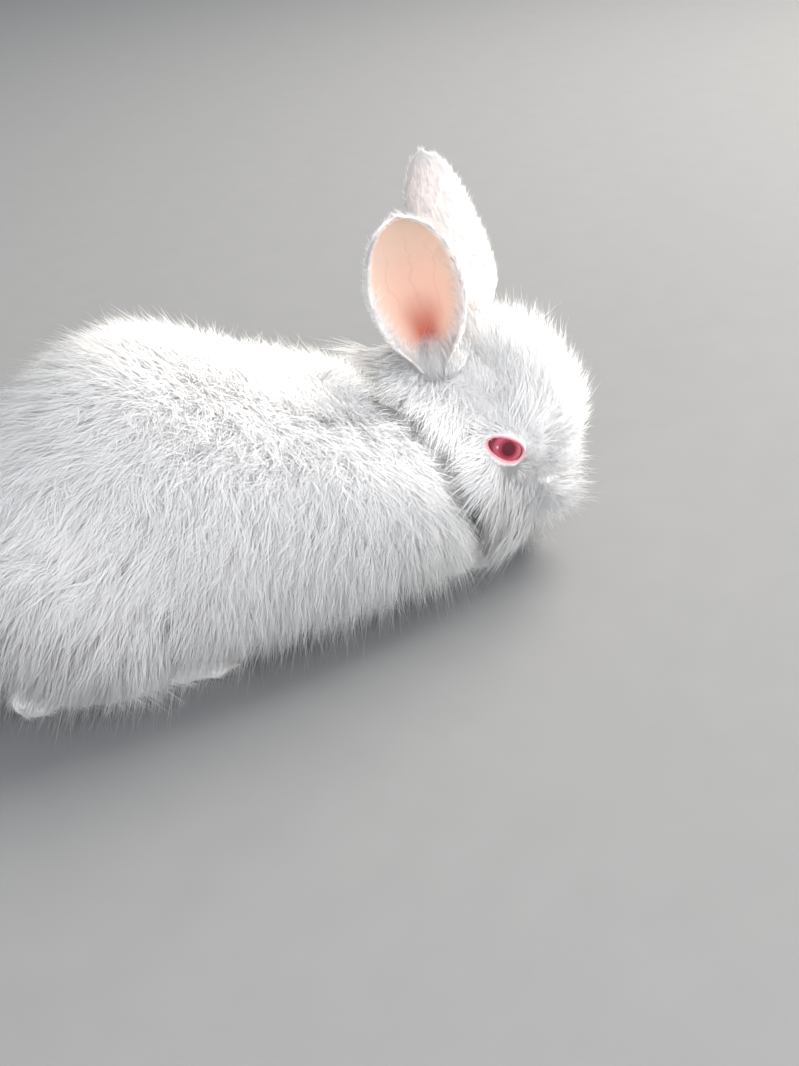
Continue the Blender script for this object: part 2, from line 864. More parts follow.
@dataclass
class Skin:
    """The whole skin in one closed piece, with its folds, lids, nostrils and ears."""

    trunk: Trunk
    head: Head
    limbs: Limbs
    eyes: tuple[Eye, Eye]
    ears: tuple[Ear, Ear]
    stand: Vector
    voxel: float = 0.0026
    smoothing: int = 6
    ear_reach: float = 0.0011

    def __post_init__(self) -> None:
        """Notes where the head is."""
        self.place = self.head.matrix(self.stand)

    def forms(self) -> tuple[Piece, list[Piece]]:
        """Builds each part's own form at the skin, and notes which part is where.

        Returns:
            The body, melted to one, and the forms that are still to be joined to it.
        """
        found = [(Part.TRUNK, self.trunk.build(0, self.stand)), (Part.TAIL, self.limbs.tail(0, self.stand))]
        found += [(Part.HAUNCH, self.limbs.haunch(side, 0, self.stand)) for side in (1, -1)]
        body = [piece for _, piece in found]
        labels = LabelledForms.of(found)
        melted_body = melted("body", body, self.voxel, self.smoothing)
        feet = [(Part.FOOT, self.limbs.hind_foot(side, self.stand)) for side in (1, -1)]
        feet += [(Part.FOOT, self.limbs.foreleg(side, self.stand)) for side in (1, -1)]
        head = self.carved_head()
        ears = [(ear.part, ear.build(self.place)) for ear in self.ears]
        rest = feet + [(Part.HEAD, head)] + ears
        labels.add(rest)
        self.labels = labels
        return melted_body, [piece for _, piece in rest]

    def carved_head(self) -> Piece:
        """The head with lids, eye sockets, nostrils and the line of the mouth.

        Returns:
            The head.
        """
        place = self.place
        head = self.head.build(0, self.stand)
        for eye in self.eyes:
            combined(head, eye.lids(place), "UNION")
        for eye in self.eyes:
            at = place @ Matrix.Translation(eye.centre())
            combined(head, ellipsoid("socket", at, (eye.radius + 0.0001,) * 3, 48, 32), "DIFFERENCE")
        nose, mouth = Vector(self.head.nose_at), Vector(self.head.mouth_at)
        for side in (1, -1):
            turn = Euler((0.6 * side, 0.5, 0.5 * side)).to_matrix().to_4x4()
            at = place @ Matrix.Translation(nose + Vector((0, 0.0023 * side, 0))) @ turn
            combined(head, ellipsoid("nostril", at, (0.0024, 0.0007, 0.0014)), "DIFFERENCE")
            turn = Euler((0.5 * side, 0.45, 0)).to_matrix().to_4x4()
            at = place @ Matrix.Translation(mouth + Vector((-0.003, 0.0035 * side, -0.0005))) @ turn
            combined(head, ellipsoid("lip", at, (0.0060, 0.0042, 0.00035)), "DIFFERENCE")
        at = place @ Matrix.Translation(mouth + Vector((0.002, 0, 0.003)))
        return combined(head, ellipsoid("split_lip", at, (0.003, 0.0003, 0.0035)), "DIFFERENCE")

    def build(self) -> Piece:
        """Joins every form to one closed skin and unwraps it.

        Returns:
            The skin.
        """
        skin, rest = self.forms()
        for piece in rest:
            combined(skin, piece, "UNION")
        skin.name = "skin"
        skin.data.name = "skin"
        pick(skin)
        bpy.ops.object.mode_set(mode="EDIT")
        bpy.ops.mesh.select_all(action="SELECT")
        bpy.ops.uv.smart_project(angle_limit=math.radians(66), island_margin=0.002)
        bpy.ops.object.mode_set(mode="OBJECT")
        bpy.ops.object.shade_smooth()
        self.mark(skin)
        return skin

    def mark(self, skin: Piece) -> None:
        """Writes where the skin shows pink, and where each ear's inside is, as attributes.

        Args:
            skin: The finished skin.
        """
        points = points_of(skin)
        local = seen_from(self.place, points)
        flush = np.zeros(len(points))
        for eye in self.eyes:
            distance, past = eye.off_rim(local)
            near = 1 - smooth_step(eye.radius + 0.0006, eye.radius + 0.0020, distance)
            flush = np.maximum(flush, near * (1 - smooth_step(2, 9, past)))
        nose = np.linalg.norm((local - np.array(self.head.nose_at)) / (1.0, 0.8, 0.7), axis=1)
        flush = np.maximum(flush, 0.8 * (1 - smooth_step(0.0028, 0.0052, nose)))
        mouth = np.linalg.norm((local - np.array(self.head.mouth_at)) / (1.2, 1.2, 0.6), axis=1)
        flush = np.maximum(flush, 0.7 * (1 - smooth_step(0.0015, 0.0045, mouth)))
        values = {name: np.zeros(len(points)) for name in ("inner", "along", "across", "ear")}
        normals = normals_of(skin)
        for ear in self.ears:
            along, across, _ = ear.coordinates(self.place, points)
            _, open_way, side_way = (np.array(axis) for axis in ear.axes())
            mine = self.labels.part_of(points, ear.part, self.ear_reach)
            curl = np.interp(along, ear.stations, ear.curls)[:, None]
            towards = open_way - side_way * across[:, None] * curl / 90
            faces_in = (normals * unit(towards)).sum(1)
            values["inner"][mine] = smooth_step(-0.1, 0.25, faces_in)[mine]
            values["along"][mine] = along[mine]
            values["across"][mine] = across[mine]
            values["ear"][mine] = smooth_step(0.02, 0.14, along)[mine]
        values["flush"] = flush
        for name, rows in values.items():
            put_attribute(skin, name, rows)


@dataclass
class LabelledForms:
    """One search tree over every part's own form, which tells what part a point of the skin is on."""

    points: list[list[float]]
    faces: list[list[int]]
    parts: list[Part]
    tree: Optional[BVHTree] = None

    @classmethod
    def of(cls, forms: Sequence[tuple[Part, Piece]]) -> "LabelledForms":
        """Reads these forms."""
        made = cls([], [], [])
        made.add(forms)
        return made

    def add(self, forms: Sequence[tuple[Part, Piece]]) -> None:
        """Reads more forms and renews the search tree."""
        for part, piece in forms:
            first = len(self.points)
            self.points += points_of(piece).tolist()
            piece.data.calc_loop_triangles()
            for triangle in piece.data.loop_triangles:
                self.faces.append([first + k for k in triangle.vertices])
                self.parts.append(part)
        self.tree = BVHTree.FromPolygons(self.points, self.faces)

    def part_at(self, point: Sequence[float]) -> Part:
        """The part whose form is nearest."""
        return self.parts[self.tree.find_nearest(Vector(point))[2]]

    def part_of(self, points: Array, part: Part, within: float) -> Array:
        """Which points lie on a part.

        Args:
            points: The points.
            part: The part.
            within: How far off its own form they may be.

        Returns:
            True or false for each point.
        """
        found = np.zeros(len(points), bool)
        for i, point in enumerate(points):
            _, _, face, distance = self.tree.find_nearest(Vector(point))
            found[i] = distance < within and self.parts[face] is part
        return found


@dataclass(frozen=True)
class TuftStyle:
    """How the tufts of one stretch of coat are made: their number, their strands and how they lie."""

    tufts: int
    strands: int = 4
    width: float = 0.00019
    rings: int = 2
    spread: float = 0.0022
    pinch: float = 0.25
    frizz: float = 0.0013
    run: float = 1.15
    least_run: float = 0.0022
    least_rise: float = 0.0008
    scatter: float = 0.38
    deepest: float = 0.021
    wisps: float = 0.0
    softness: float = 0.94
    under: float = 0.25


# Where along a strand its rings are and how wide each is, by the number of rings.
STRAND_SHAPES = {
    1: ([0.0], [1.0]),
    2: ([0.0, 0.50], [0.85, 0.9]),
    3: ([0.0, 0.36, 0.70], [0.75, 1.0, 0.72]),
}
# How wide each tuft's patch of the map is, and how low a hair may come.
PATCH = 0.003
LOWEST_HAIR = 0.0004


@dataclass
class Tufts:
    """Roots of tufts with the path that each follows."""

    roots: Array
    middles: Array
    ends: Array
    normals: Array
    maps: Array

    def taken(self, chosen: Array) -> "Tufts":
        """Some of the tufts."""
        rows = (self.roots, self.middles, self.ends, self.normals, self.maps)
        return Tufts(*(row[chosen] for row in rows))

    def drawn_together(self, share: float, apart: float, rng: Chance) -> "Tufts":
        """Tufts whose tips lean towards the nearest of a few of them, as in the wisps of a long coat.

        Args:
            share: How far each tip moves towards its wisp's, from 0 to 1.
            apart: How far apart the wisps are.
            rng: The seeded source of chance.

        Returns:
            The tufts.
        """
        order = rng.permutation(len(self.ends))
        seeds: list[int] = []
        taken: set[tuple[int, ...]] = set()
        for k in order:
            cell = tuple(np.floor(self.ends[k] / apart).astype(int))
            if cell not in taken:
                taken.add(cell)
                seeds.append(int(k))
        tree = KDTree(len(seeds))
        for index, k in enumerate(seeds):
            tree.insert(self.ends[k], index)
        tree.balance()
        nearest = np.array([seeds[tree.find(end)[1]] for end in self.ends])
        pull = (self.ends[nearest] - self.ends) * (share * rng.uniform(0.3, 1.0, len(self.ends)))[:, None]
        return Tufts(self.roots, self.middles + pull * 0.3, self.ends + pull, self.normals, self.maps)

    def mesh(self, name: str, style: TuftStyle, rng: Chance) -> Piece:
        """One closed tapered strand after another, in tufts that draw together at their tips.

        Args:
            name: The piece's name.
            style: How the tufts are made.
            rng: The seeded source of chance.

        Returns:
            The piece, with the attributes shade and along and the map OFBake.
        """
        strands, rings = style.strands, style.rings
        total = len(self.roots) * strands
        start, middle, end, normal = (
            np.repeat(rows, strands, 0) for rows in (self.roots, self.middles, self.ends, self.normals)
        )
        heading = unit(end - start)
        across = unit(np.cross(heading, normal))
        upright = np.cross(across, heading)
        far = rng.random(total) < 0.12
        reach = np.where(far, rng.uniform(1.0, 1.30, total), rng.uniform(0.62, 1.02, total))[:, None]
        angle = rng.uniform(0, math.tau, total)[:, None]
        away = np.sqrt(rng.random(total))[:, None] * style.spread
        offset = across * np.cos(angle) * away + np.cross(normal, across) * np.sin(angle) * away
        stray = np.clip(rng.normal(size=(total, 3)), -1.8, 1.8) * style.frizz
        span = np.linalg.norm(end - start, axis=1)[:, None]
        stray *= np.clip(span / 0.02, 0.15, 1)
        stray += normal * np.where(far, rng.uniform(0, 0.22, total), 0)[:, None] * span
        girth = style.width / 2 * np.where(far, 0.6, rng.uniform(0.75, 1.25, total))[:, None]
        stops, widths = STRAND_SHAPES[rings]
        spin = rng.uniform(0, math.tau, total)[:, None]

        def along(share: float) -> Array:
            """Each strand's middle at this share of its length."""
            t = share * reach
            path = start * (1 - t) * (1 - 2 * t) + middle * 4 * t * (1 - t) + end * t * (2 * t - 1)
            return path + offset * (1 - style.pinch * share) + stray * share**1.6

        layers, facing = [], []
        outward_way = unit(normal + heading * 0.35) * style.softness
        for stop, wide in zip(stops, widths):
            centre = along(stop)
            for corner in range(3):
                turn = spin + math.tau * corner / 3
                spoke = across * np.cos(turn) + upright * np.sin(turn)
                layers.append(centre + spoke * girth * wide)
                facing.append(unit(outward_way + spoke * (1 - style.softness)))
        layers.append(along(1.0))
        facing.append(unit(outward_way + heading * (1 - style.softness)))
        points = np.stack(layers, 1)
        points[:, :, 2] = np.maximum(points[:, :, 2], LOWEST_HAIR)
        each = 3 * rings + 1
        pattern = [(0, 1, 2)]
        for ring in range(rings - 1):
            low = 3 * ring
            for k in range(3):
                n = (k + 1) % 3
                pattern += [(low + n, low + k, low + 3 + n), (low + 3 + n, low + k, low + 3 + k)]
        low = 3 * (rings - 1)
        pattern += [(low + (k + 1) % 3, low + k, each - 1) for k in range(3)]
        faces = np.array(pattern)[None] + (np.arange(total) * each)[:, None, None]
        piece = mesh_from_arrays(name, points.reshape(-1, 3), faces.reshape(-1, 3))
        stops_of = np.repeat(stops, 3).tolist() + [1.0]
        self.dress(piece, style, total, each, np.array(stops_of), faces.reshape(-1), rng)
        piece.data.normals_split_custom_set_from_vertices(np.stack(facing, 1).reshape(-1, 3).tolist())
        return piece

    def dress(
        self,
        piece: Piece,
        style: TuftStyle,
        total: int,
        each: int,
        stops: Array,
        corners: Array,
        rng: Chance,
    ) -> None:
        """Writes each strand's shade, how far along it a point is, and its patch of the map.

        Args:
            piece: The strands.
            style: How they were made.
            total: How many there are.
            each: How many points each has.
            stops: How far along it each of these is.
            corners: The point at each corner of the faces.
            rng: The seeded source of chance.
        """
        of_tuft = np.repeat(rng.random(len(self.roots)), style.strands)
        shade = np.clip(0.55 * of_tuft + 0.45 * rng.random(total), 0, 1)
        rows = {"shade": np.repeat(shade, each), "along": np.tile(stops, total)}
        for name, values in rows.items():
            put_attribute(piece, name, values)
        corner_of = np.tile(np.append(np.tile([0.0, 0.5, 1.0], (each - 1) // 3), 0.5), total)
        strand = np.tile(np.arange(style.strands), len(self.roots))
        wide = (np.repeat(strand, each) + corner_of) / style.strands
        patch = np.stack((wide, np.tile(stops, total)), 1) * PATCH
        spots = np.repeat(np.repeat(self.maps, style.strands, 0), each, 0) + patch
        layer = piece.data.uv_layers.new(name="OFBake")
        layer.data.foreach_set("uv", np.clip(spots[corners], 0, 1).astype(np.float32).ravel())


def mesh_from_arrays(name: str, points: Array, faces: Array) -> Piece:
    """A smooth-shaded object from arrays.

    Args:
        name: Its name.
        points: Its points.
        faces: Its triangles, as numbers of points.

    Returns:
        The object.
    """
    mesh = bpy.data.meshes.new(name)
    mesh.vertices.add(len(points))
    mesh.vertices.foreach_set("co", points.astype(np.float32).ravel())
    mesh.loops.add(faces.size)
    mesh.loops.foreach_set("vertex_index", faces.astype(np.int32).ravel())
    mesh.polygons.add(len(faces))
    mesh.polygons.foreach_set("loop_start", np.arange(0, faces.size, 3, dtype=np.int32))
    mesh.polygons.foreach_set("use_smooth", np.ones(len(faces), bool))
    mesh.update(calc_edges=True)
    piece = bpy.data.objects.new(name, mesh)
    bpy.context.scene.collection.objects.link(piece)
    return piece


class EarGrowth(Enum):
    """The kinds of hair on an ear."""

    FRINGE = "round its edge"
    BACK = "down on its back"
    BAND = "just inside its edge"
    MOUTH = "in its mouth"


EAR_GROWTHS = (EarGrowth.FRINGE,) * 4 + (EarGrowth.BACK,) * 4 + (EarGrowth.BAND, EarGrowth.MOUTH)


@dataclass
class Coat:
    """The coat over the whole skin: tufts that lie back from the face and down the flanks."""

    skin: Skin
    ground: Surface
    tips: Surface
    most_faces: int = 190000
    shallowest: float = 0.001
    deepest: float = 0.021
    farthest: float = 0.03
    longest_run: float = 0.013
    wisp: float = 0.008
    off_floor: float = 0.0012

    def __post_init__(self) -> None:
        """Notes which part each face of the skin is on, and makes a search tree of those with long hair."""
        self.parts = [self.skin.labels.part_at(centre) for centre in self.ground.corners.mean(1)]
        bearing = (Part.TRUNK, Part.HAUNCH, Part.TAIL, Part.HEAD)
        self.bearing = np.array([k for k, part in enumerate(self.parts) if part in bearing])
        points = self.ground.corners[self.bearing].reshape(-1, 3)
        faces = np.arange(len(points)).reshape(-1, 3)
        self.hide = BVHTree.FromPolygons(points.tolist(), faces.tolist())

    def under(self, points: Array) -> tuple[Array, ...]:
        """The nearest places where long hair can grow.

        Args:
            points: Where the hair's tips are, or roughly its roots.

        Returns:
            The places, with their normals, their places on the unwrap and their distances.
        """
        spots, normals, faces, distances = zip(*(self.hide.find_nearest(Vector(point)) for point in points))
        maps = self.ground.maps[self.bearing[list(faces)]].mean(1)
        return np.array(spots), np.array(normals), maps, np.array(distances)[:, None]

    def lie(self, part: Part, points: Array) -> Array:
        """The way the coat lies, before it is laid along the skin.

        Args:
            part: The part that the points are on.
            points: The points.

        Returns:
            The way at each point.
        """
        if part is Part.HEAD:
            focus = np.array(self.skin.place @ Vector(self.skin.head.lie_focus))
            return unit(points - focus) + np.array((-0.25, 0, -0.25))
        if part is Part.TAIL:
            return np.tile((-0.4, 0.0, -1.0), (len(points), 1))
        if part is Part.FOOT:
            return np.tile((1.0, 0.0, -0.5), (len(points), 1))
        x = points[:, 0] - self.skin.stand.x
        back = np.interp(x, (-0.07, -0.04, 0.01, 0.06), (0.35, 1.0, 0.9, 0.35))
        return np.stack((-back, np.zeros(len(x)), np.full(len(x), -0.85)), 1)

    def depth(self, point: Vector, normal: Vector, deepest: Optional[float] = None) -> float:
        """How far the tips stand off the skin here.

        Args:
            point: A point of the skin.
            normal: Its normal.
            deepest: The most it may be, if not the coat's own.

        Returns:
            The depth.
        """
        distance = self.tips.tree.ray_cast(point, normal, self.farthest)[3]
        return min(deepest or self.deepest, distance if distance is not None else self.shallowest)

    def paths(
        self, part: Part, style: TuftStyle, places: tuple[Array, ...], rng: Chance
    ) -> Tufts:
        """Lays each tuft over the skin: it rises off its root and follows the lie.

        Args:
            part: The part that the roots are on.
            style: How the tufts are made.
            places: The roots' faces, points, normals and places on the unwrap.
            rng: The seeded source of chance.

        Returns:
            The tufts with their paths.
        """
        _, roots, normals, maps = places
        lie = self.fallen(part, style, roots, normals, rng)
        depth = np.array([self.depth(Vector(p), Vector(n), style.deepest) for p, n in zip(roots, normals)])
        rise = np.maximum(depth * rng.uniform(0.86, 1.12, len(roots)), style.least_rise)[:, None]
        run = np.maximum(rise * style.run * rng.uniform(0.75, 1.25, len(roots))[:, None], style.least_run)
        middles = self.laid(roots + lie * run * 0.42, rise * 0.64)
        ends = self.laid(roots + lie * run, rise, rng.uniform(0.95, 1.2, len(roots)))
        middles, ends = self.hung(part, roots, middles, ends, normals, lie, rise, run)
        longest = 1.25 * np.hypot(rise, run)
        middles, ends = self.within(roots, middles, longest * 0.6), self.within(roots, ends, longest)
        return Tufts(roots, middles, ends, normals, maps)

    def fallen(
        self, part: Part, style: TuftStyle, points: Array, normals: Array, rng: Chance
    ) -> Array:
        """The way each tuft lies along the surface, a little different from its neighbours'.

        Args:
            part: The part that the points are on.
            style: How the tufts are made.
            points: Points of the surface.
            normals: Their normals.
            rng: The seeded source of chance.

        Returns:
            The way at each point, of length 1.
        """
        lie = self.lie(part, points) + self.swirl(points) * style.scatter * 0.7
        lie = unit(lie - normals * (lie * normals).sum(1)[:, None])
        turn = rng.normal(0, style.scatter, len(points))[:, None]
        lie = lie * np.cos(turn) + np.cross(normals, lie) * np.sin(turn)
        return self.clear_of_eyes(points, normals, lie)

    def drawn_back(
        self, part: Part, style: TuftStyle, places: tuple[Array, ...], rng: Chance
    ) -> Tufts:
        """Draws each tuft from its tip back to its root, so that the tips of a long coat are spread evenly.

        Args:
            part: The part that the tips are on.
            style: How the tufts are made.
            places: The faces, points and normals of the tips.
            rng: The seeded source of chance.

        Returns:
            The tufts with their paths.
        """
        _, ends, outward_way, _ = places
        lie = self.fallen(part, style, ends, outward_way, rng)
        depth = self.under(ends)[3]
        share = 1 - style.under * rng.random((len(ends), 1))
        low = smooth_step(0.0, 0.45, -outward_way[:, 2:])
        down = np.clip(ends[:, 2:] - self.off_floor, 0, 0.011) * low
        ends = ends - outward_way * depth * (1 - share) + unit(outward_way * (1, 1, 0.001)) * low * 0.004
        ends[:, 2:] -= down
        run = depth * style.run * rng.uniform(0.7, 1.3, depth.shape)
        run = np.clip(run, style.least_run, self.longest_run)
        roots, normals, maps, _ = self.under(ends - lie * run)
        middles = (roots + ends) / 2 + (normals + outward_way) * depth * share * 0.10
        tufts = Tufts(roots, middles, ends, outward_way, maps)
        tufts = tufts.drawn_together(style.wisps, self.wisp, rng) if style.wisps else tufts
        return tufts.taken(self.clear(tufts))

    def clear(self, tufts: Tufts) -> Array:
        """Which tufts cover neither an eye nor the mouth of an ear.

        Args:
            tufts: The tufts.

        Returns:
            True or false for each.
        """
        keep = np.ones(len(tufts.roots), bool)
        for points, margin in ((tufts.middles, 2), (tufts.ends, 5), (tufts.roots, 8)):
            local = seen_from(self.skin.place, points)
            for eye in self.skin.eyes:
                distance, past = eye.off_rim(local)
                keep &= (distance > eye.radius + 0.012) | (past > margin)
            for ear in self.skin.ears:
                along, across, off = ear.coordinates(self.skin.place, points)
                aside = (np.abs(across) > 0.85) | (off < -0.004) | (off > 0.014)
                keep &= (along < 0.13) | (along > 1) | aside
        return keep

    def within(self, roots: Array, points: Array, longest: Array) -> Array:
        """Points drawn in towards their roots, where they are too far off.

        Args:
            roots: The roots.
            points: The points.
            longest: How far off each may be.

        Returns:
            The moved points.
        """
        way = points - roots
        span = np.linalg.norm(way, axis=1)[:, None]
        return roots + way * np.minimum(1, longest / np.maximum(span, 1e-6))

    def hung(self, part: Part, roots: Array, *rows: Array) -> tuple[Array, Array]:
        """Lets the hair of the lower flanks hang straight down to the floor, clear of the belly.

        Args:
            part: The part that the roots are on.
            roots: The roots.
            rows: The middles and ends as laid, then the normals, lies, rises and runs.

        Returns:
            The middles and the ends.
        """
        middles, ends, normals, lie, rise, run = rows
        if part in (Part.FOOT, Part.TAIL):
            return middles, ends
        share = smooth_step(-0.25, 0.35, -normals[:, 2])[:, None] * 0.85
        outward_way = unit(normals * (1.0, 1.0, 0.15))
        falling = unit(lie * (0.6, 0.6, 1.0) + (0, 0, -0.4))
        free = roots + outward_way * rise * 0.85 + falling * run * (1.1 + 0.5 * share)
        drop = np.maximum(roots[:, 2:] - free[:, 2:], 1e-5)
        free = roots + (free - roots) * np.clip((roots[:, 2:] - self.off_floor) / drop, 0.15, 1)
        ends = ends * (1 - share) + free * share
        bowed = (roots + ends) / 2 + outward_way * rise * 0.22
        return middles * (1 - share) + bowed * share, ends

    def swirl(self, points: Array) -> Array:
        """A slow drift of the lie from place to place, so that the coat falls in waves."""
        waves = ((90, 140, 60, 0.3), (170, 60, 120, 1.7), (60, 110, 200, 4.1))
        rows = [np.sin(points @ np.array(wave[:3]) + wave[3]) for wave in waves]
        return np.stack(rows, 1)

    def clear_of_eyes(self, roots: Array, normals: Array, lie: Array) -> Array:
        """Turns the lie away from each eye, close to it.

        Args:
            roots: Where the tufts grow.
            normals: The normals there.
            lie: The way each lies.

        Returns:
            The way each lies, turned.
        """
        for eye in self.skin.eyes:
            away = roots - np.array(self.skin.place @ eye.centre())
            distance = np.linalg.norm(away, axis=1)
            away = unit(away - normals * (away * normals).sum(1)[:, None])
            near = (1 - smooth_step(0.0095, 0.0135, distance))[:, None]
            lie = unit(lie * (1 - near) + away * near)
        return lie

    def laid(self, points: Array, heights: Array, most: Optional[Array] = None) -> Array:
        """Each point moved to stand at its height over the skin nearest to it.

        Args:
            points: The points, near the skin.
            heights: How high each should stand.
            most: The greatest share of the coat's depth below it that each may have, if any.

        Returns:
            The moved points.
        """
        rows = np.empty_like(points)
        for i, point in enumerate(points):
            spot, normal, _, _ = self.ground.tree.find_nearest(Vector(point))
            height = float(heights[i, 0])
            if most is not None:
                height = min(height, self.depth(spot, normal) * float(most[i]) + 0.0006)
            rows[i] = spot + normal * height
        return rows

    def pieces(self, name: str, tufts: Tufts, style: TuftStyle, seed: int) -> list[Piece]:
        """Makes the tufts as one piece, or as several side by side where one would be too heavy.

        Args:
            name: The piece's name, to which several pieces add their number.
            tufts: The tufts.
            style: How they are made.
            seed: What their chance is seeded by.

        Returns:
            The pieces.
        """
        each = style.strands * (6 * style.rings - 2)
        parts = max(1, math.ceil(len(tufts.roots) * each / self.most_faces))
        order = np.array_split(np.argsort(tufts.roots[:, 0]), parts)
        made = []
        for k, chosen in enumerate(order):
            label = name if parts == 1 else f"{name}_{k + 1}"
            made.append(tufts.taken(chosen).mesh(label, style, np.random.default_rng((seed, k))))
        return made

    def kept(self, places: tuple[Array, ...]) -> tuple[Array, ...]:
        """Leaves out roots on the rims of the lids and on the bare nose.

        Args:
            places: The faces, points, normals and places on the unwrap of the roots.

        Returns:
            The same four of the roots that stay.
        """
        _, roots, _, _ = places
        local = seen_from(self.skin.place, roots)
        keep = np.ones(len(roots), bool)
        for eye in self.skin.eyes:
            distance, past = eye.off_rim(local)
            keep &= (distance > eye.radius + 0.0022) | (past > 4)
        keep &= np.linalg.norm(local - np.array(self.skin.head.nose_at), axis=1) > 0.0026
        return tuple(rows[keep] for rows in places)

    def grow(
        self, name: str, part: Part, style: TuftStyle, weight: Array, seed: int
    ) -> list[Piece]:
        """Grows one stretch of coat.

        Args:
            name: Its name.
            part: The part of the body that it is on.
            style: How its tufts are made.
            weight: How thickly each face of the tips is sown, or of the skin for short fur.
            seed: What its chance is seeded by.

        Returns:
            Its pieces.
        """
        rng = np.random.default_rng(seed)
        if len(weight) == len(self.tips.areas):
            tufts = self.drawn_back(part, style, self.tips.scatter(style.tufts, weight, rng), rng)
        else:
            tufts = self.paths(part, style, self.kept(self.ground.scatter(style.tufts, weight, rng)), rng)
            tufts = tufts.taken(self.clear(tufts))
        return self.pieces(name, tufts, style, seed)

    def collar(self, ear: Ear, style: TuftStyle, seed: int) -> list[Piece]:
        """Longer hair round the root of an ear, which hides where it joins the head.

        Args:
            ear: The ear.
            style: How the tufts are made.
            seed: What their chance is seeded by.

        Returns:
            The hair.
        """
        rng = np.random.default_rng(seed)
        long_way, open_way, side_way = (np.array(axis) for axis in ear.axes())
        half = style.tufts // 2
        angle = np.append(rng.uniform(0, math.tau, half), rng.normal(0, 0.9, style.tufts - half))[:, None]
        spoke = open_way * np.cos(angle) + side_way * np.sin(angle)
        seat = np.array(self.skin.place @ Vector(ear.seat)) + open_way * 0.002
        roots, normals, maps, _ = self.under(seat + spoke * rng.uniform(0.004, 0.0095, angle.shape))
        length = rng.uniform(0.006, 0.012, angle.shape)
        leaning = spoke * rng.uniform(-0.25, 0.5, angle.shape)
        ends = roots + unit(long_way * 0.8 + leaning + rng.normal(0, 0.12, roots.shape)) * length
        middles = (roots + ends) / 2 + spoke * length * 0.10
        tufts = Tufts(roots, middles, ends, unit(spoke * 0.4 + (0, 0, 1.0)), maps)
        return self.pieces(f"coat_collar_{ear.part.value}", tufts, style, seed)

    def whiskers(self, seed: int) -> list[Piece]:
        """A few long fine whiskers on each side of the muzzle.

        Args:
            seed: What their chance is seeded by.

        Returns:
            The whiskers as one piece.
        """
        rng = np.random.default_rng(seed)
        place = self.skin.place
        rows = []
        for side in (1, -1):
            for k in range(11):
                over = Vector((0.0275 + 0.0028 * (k % 4), 0.014 * side, -0.0105 - 0.0028 * (k // 4)))
                root, _, _, _ = self.ground.tree.find_nearest(place @ over)
                aim = Vector((rng.uniform(-0.55, 0.25), side, rng.uniform(-0.35, 0.15)))
                way = (place.to_3x3() @ aim).normalized()
                length = float(rng.uniform(0.012, 0.018))
                droop = UP * length * 0.10
                rows.append((root, root + way * length * 0.5, root + way * length - droop, way))
        roots, middles, ends, normals = (np.array([row[i] for row in rows]) for i in range(4))
        tufts = Tufts(roots, middles, ends, normals, self.ground.map_at(roots))
        style = TuftStyle(len(rows), 1, 0.00009, 3, spread=0.0, frizz=0.0, softness=0.4)
        return self.pieces("coat_whiskers", tufts, style, seed)

    def ear_fur(self, ear: Ear, style: TuftStyle, seed: int) -> list[Piece]:
        """Down on the back of an ear, a fringe round its edge and a few long hairs in its mouth.

        Args:
            ear: The ear.
            style: How the tufts are made.
            seed: What their chance is seeded by.

        Returns:
            The hair.
        """
        rng = np.random.default_rng(seed)
        head = self.skin.place
        long_way, open_way, _ = ear.axes()
        rows: list[tuple[Vector, Vector, Vector, Vector]] = []
        for k in range(style.tufts):
            growth = EAR_GROWTHS[k % len(EAR_GROWTHS)]
            side = 1 if rng.random() < 0.5 else -1
            if growth is EarGrowth.FRINGE:
                along, across = float(1 - rng.random() ** 1.3), side * 1.0
            elif growth is EarGrowth.BACK:
                along, across = float(rng.random()) * 0.99, float(rng.uniform(-1, 1))
            elif growth is EarGrowth.BAND:
                along, across = float(1 - rng.random() ** 1.2), side * float(rng.uniform(0.93, 1.0))
            else:
                along, across = float(0.02 + 0.55 * rng.random() ** 2), side * float(rng.uniform(0.8, 1.0))
            root = ear.point(head, along, across)
            step = ear.point(head, along, across - side * 0.05)
            sideways = (root - step).normalized()
            above, below = (ear.point(head, stop, across) for stop in (min(along + 0.02, 1.0), along - 0.02))
            up = (above - below).normalized()
            back = sideways.cross(up).normalized()
            back = back if back.dot(open_way) < 0 or abs(across) > 0.98 else -back
            if growth is EarGrowth.FRINGE:
                tip_share = smooth_step(0.75, 1.0, np.array(along))
                way = sideways * (0.75 - 0.5 * tip_share) + up * (0.55 + 0.7 * tip_share)
                way = way + open_way * rng.normal(0, 0.22)
                length, normal = float(rng.uniform(0.0016, 0.0034)), (sideways * 0.4 + UP).normalized()
            elif growth is EarGrowth.BACK:
                way = up + back * 0.22 + sideways * rng.normal(0, 0.2)
                length, normal = float(rng.uniform(0.0022, 0.0038)), back
                root = root + back * ear.wall * 0.4
            elif growth is EarGrowth.BAND:
                way = up * 0.9 + sideways * 0.30 - back * 0.35 + sideways * rng.normal(0, 0.2)
                length, normal = float(rng.uniform(0.0012, 0.0026)), (UP - back * 0.5).normalized()
                root = root - back * ear.wall * 0.4
            else:
                inwards = (ear.point(head, along + 0.10, 0) - root).normalized()
                way = inwards * 0.8 + up * 0.5 + open_way * 0.35 + Vector(rng.normal(0, 0.15, 3))
                length, normal = float(rng.uniform(0.0035, 0.0070)), (UP + open_way * 0.5).normalized()
            way = way.normalized()
            bent = (way + long_way * 0.35).normalized()
            rows.append((root, root + way * length * 0.5, root + (way + bent) * length * 0.5, normal))
        roots, middles, ends, normals = (np.array([row[i] for row in rows]) for i in range(4))
        tufts = Tufts(roots, middles, ends, normals, self.ground.map_at(roots))
        return self.pieces(f"coat_{ear.part.value}", tufts, style, seed)


